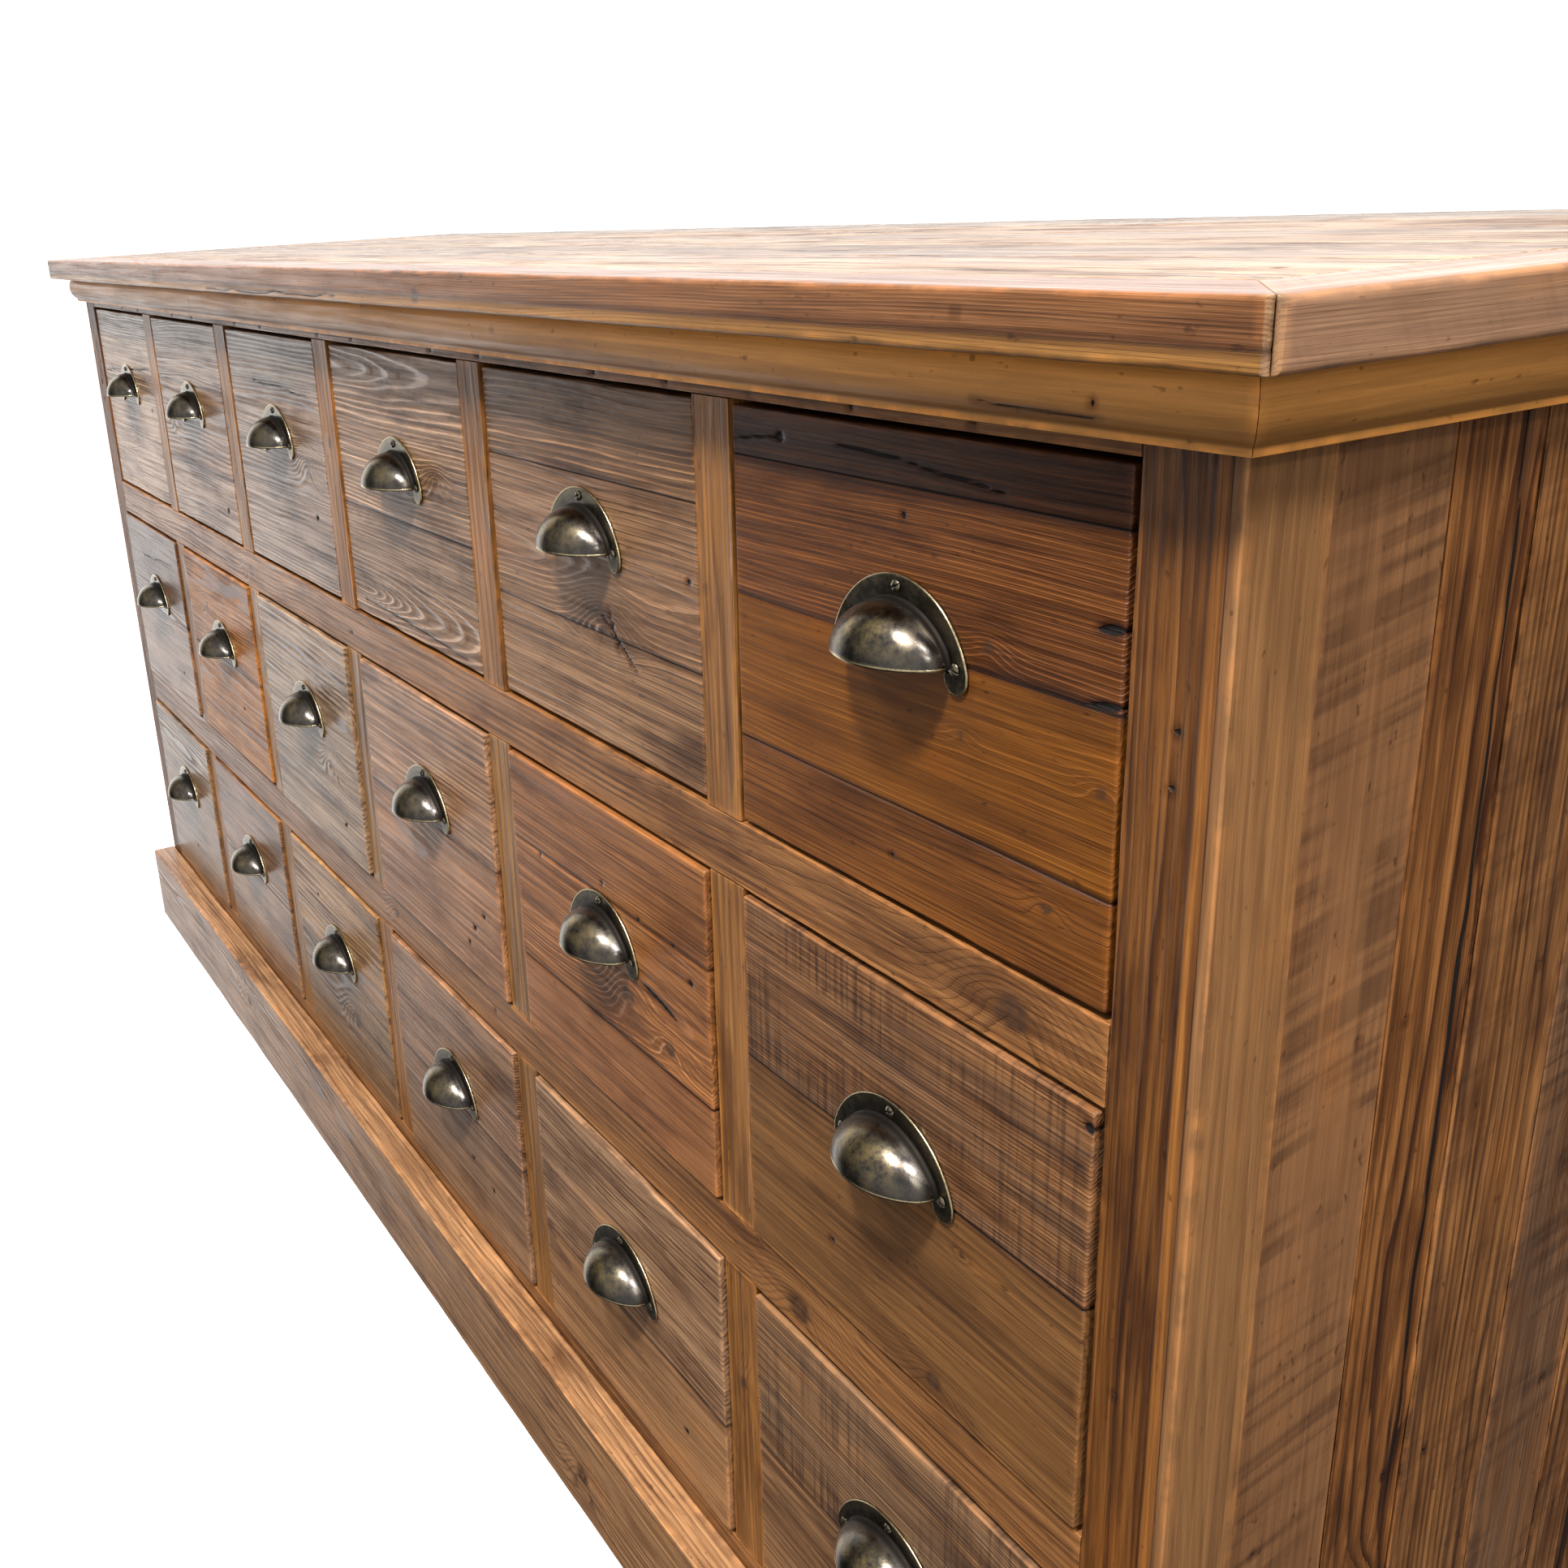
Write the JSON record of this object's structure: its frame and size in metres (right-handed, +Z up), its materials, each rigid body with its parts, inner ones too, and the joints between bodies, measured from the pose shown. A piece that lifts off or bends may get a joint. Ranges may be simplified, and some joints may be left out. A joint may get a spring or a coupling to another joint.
{
  "type": "apothecary cabinet",
  "caption": "Long low apothecary chest of reclaimed wood with rows of small square inset drawers, antique cup pulls, a thick overhanging worktop on a cornice, and a plinth board.",
  "frame": {"origin": "on the floor, at the centre of the worktop's outline seen from above", "axes": "+X along the cabinet's length, +Y from the drawer fronts towards the back, +Z up; the drawers pull out towards -Y"},
  "size_m": [1.81, 0.53, 0.862],
  "materials": {
    "top_wood": "reclaimed pine, pale and worn, waxed",
    "edge_wood": "reclaimed pine, pinkish brown, waxed",
    "honey_wood": "reclaimed pine, golden honey, waxed",
    "frame_wood": "reclaimed pine, pinkish brown, waxed",
    "weathered_wood": "reclaimed pine with saw marks and grey weathering",
    "drawer_wood": "reclaimed pine drawer fronts of mixed colour, waxed",
    "raw_wood": "plain unfinished pine",
    "aged_brass": "antique brass with worn bright edges"
  },
  "bodies": {
    "carcass": {"worktop_planks": "top_wood", "worktop_front_edge": "edge_wood", "worktop_end_edges": "edge_wood", "cornice_front": "honey_wood", "cornice_ends": "honey_wood", "post_front_left": "honey_wood", "post_front_right": "honey_wood", "posts_rear": "honey_wood", "top_rail": "frame_wood", "upper_mid_rail": "frame_wood", "lower_mid_rail": "frame_wood", "bottom_rail": "frame_wood", "face_stiles": "honey_wood", "side_planks_left": "weathered_wood", "side_planks_right": "weathered_wood", "side_battens": "raw_wood", "back_boards": "weathered_wood", "back_rails": "raw_wood", "partitions": "raw_wood", "drawer_runners": "raw_wood", "drawer_stops": "raw_wood", "bottom_boards": "raw_wood", "plinth_front": "frame_wood", "plinth_blocks": "raw_wood"},
    "sliding_r1c1": {"drawer_r1c1": "drawer_wood", "pull_r1c1": "aged_brass"},
    "sliding_r1c2": {"drawer_r1c2": "drawer_wood", "pull_r1c2": "aged_brass"},
    "sliding_r1c3": {"drawer_r1c3": "drawer_wood", "pull_r1c3": "aged_brass"},
    "sliding_r1c4": {"drawer_r1c4": "drawer_wood", "pull_r1c4": "aged_brass"},
    "sliding_r1c5": {"drawer_r1c5": "drawer_wood", "pull_r1c5": "aged_brass"},
    "sliding_r1c6": {"drawer_r1c6": "drawer_wood", "pull_r1c6": "aged_brass"},
    "sliding_r2c1": {"drawer_r2c1": "drawer_wood", "pull_r2c1": "aged_brass"},
    "sliding_r2c2": {"drawer_r2c2": "drawer_wood", "pull_r2c2": "aged_brass"},
    "sliding_r2c3": {"drawer_r2c3": "drawer_wood", "pull_r2c3": "aged_brass"},
    "sliding_r2c4": {"drawer_r2c4": "drawer_wood", "pull_r2c4": "aged_brass"},
    "sliding_r2c5": {"drawer_r2c5": "drawer_wood", "pull_r2c5": "aged_brass"},
    "sliding_r2c6": {"drawer_r2c6": "drawer_wood", "pull_r2c6": "aged_brass"},
    "sliding_r3c1": {"drawer_r3c1": "drawer_wood", "pull_r3c1": "aged_brass"},
    "sliding_r3c2": {"drawer_r3c2": "drawer_wood", "pull_r3c2": "aged_brass"},
    "sliding_r3c3": {"drawer_r3c3": "drawer_wood", "pull_r3c3": "aged_brass"},
    "sliding_r3c4": {"drawer_r3c4": "drawer_wood", "pull_r3c4": "aged_brass"},
    "sliding_r3c5": {"drawer_r3c5": "drawer_wood", "pull_r3c5": "aged_brass"},
    "sliding_r3c6": {"drawer_r3c6": "drawer_wood", "pull_r3c6": "aged_brass"}
  },
  "joints": [
    {"name": "slide_r1c1", "type": "slide", "parent": "carcass", "child": "sliding_r1c1", "axis": [0, -1, 0], "range_m": [0, 0.3]},
    {"name": "slide_r1c2", "type": "slide", "parent": "carcass", "child": "sliding_r1c2", "axis": [0, -1, 0], "range_m": [0, 0.3]},
    {"name": "slide_r1c3", "type": "slide", "parent": "carcass", "child": "sliding_r1c3", "axis": [0, -1, 0], "range_m": [0, 0.3]},
    {"name": "slide_r1c4", "type": "slide", "parent": "carcass", "child": "sliding_r1c4", "axis": [0, -1, 0], "range_m": [0, 0.3]},
    {"name": "slide_r1c5", "type": "slide", "parent": "carcass", "child": "sliding_r1c5", "axis": [0, -1, 0], "range_m": [0, 0.3]},
    {"name": "slide_r1c6", "type": "slide", "parent": "carcass", "child": "sliding_r1c6", "axis": [0, -1, 0], "range_m": [0, 0.3]},
    {"name": "slide_r2c1", "type": "slide", "parent": "carcass", "child": "sliding_r2c1", "axis": [0, -1, 0], "range_m": [0, 0.3]},
    {"name": "slide_r2c2", "type": "slide", "parent": "carcass", "child": "sliding_r2c2", "axis": [0, -1, 0], "range_m": [0, 0.3]},
    {"name": "slide_r2c3", "type": "slide", "parent": "carcass", "child": "sliding_r2c3", "axis": [0, -1, 0], "range_m": [0, 0.3]},
    {"name": "slide_r2c4", "type": "slide", "parent": "carcass", "child": "sliding_r2c4", "axis": [0, -1, 0], "range_m": [0, 0.3]},
    {"name": "slide_r2c5", "type": "slide", "parent": "carcass", "child": "sliding_r2c5", "axis": [0, -1, 0], "range_m": [0, 0.3]},
    {"name": "slide_r2c6", "type": "slide", "parent": "carcass", "child": "sliding_r2c6", "axis": [0, -1, 0], "range_m": [0, 0.3]},
    {"name": "slide_r3c1", "type": "slide", "parent": "carcass", "child": "sliding_r3c1", "axis": [0, -1, 0], "range_m": [0, 0.3]},
    {"name": "slide_r3c2", "type": "slide", "parent": "carcass", "child": "sliding_r3c2", "axis": [0, -1, 0], "range_m": [0, 0.3]},
    {"name": "slide_r3c3", "type": "slide", "parent": "carcass", "child": "sliding_r3c3", "axis": [0, -1, 0], "range_m": [0, 0.3]},
    {"name": "slide_r3c4", "type": "slide", "parent": "carcass", "child": "sliding_r3c4", "axis": [0, -1, 0], "range_m": [0, 0.3]},
    {"name": "slide_r3c5", "type": "slide", "parent": "carcass", "child": "sliding_r3c5", "axis": [0, -1, 0], "range_m": [0, 0.3]},
    {"name": "slide_r3c6", "type": "slide", "parent": "carcass", "child": "sliding_r3c6", "axis": [0, -1, 0], "range_m": [0, 0.3]}
  ]
}
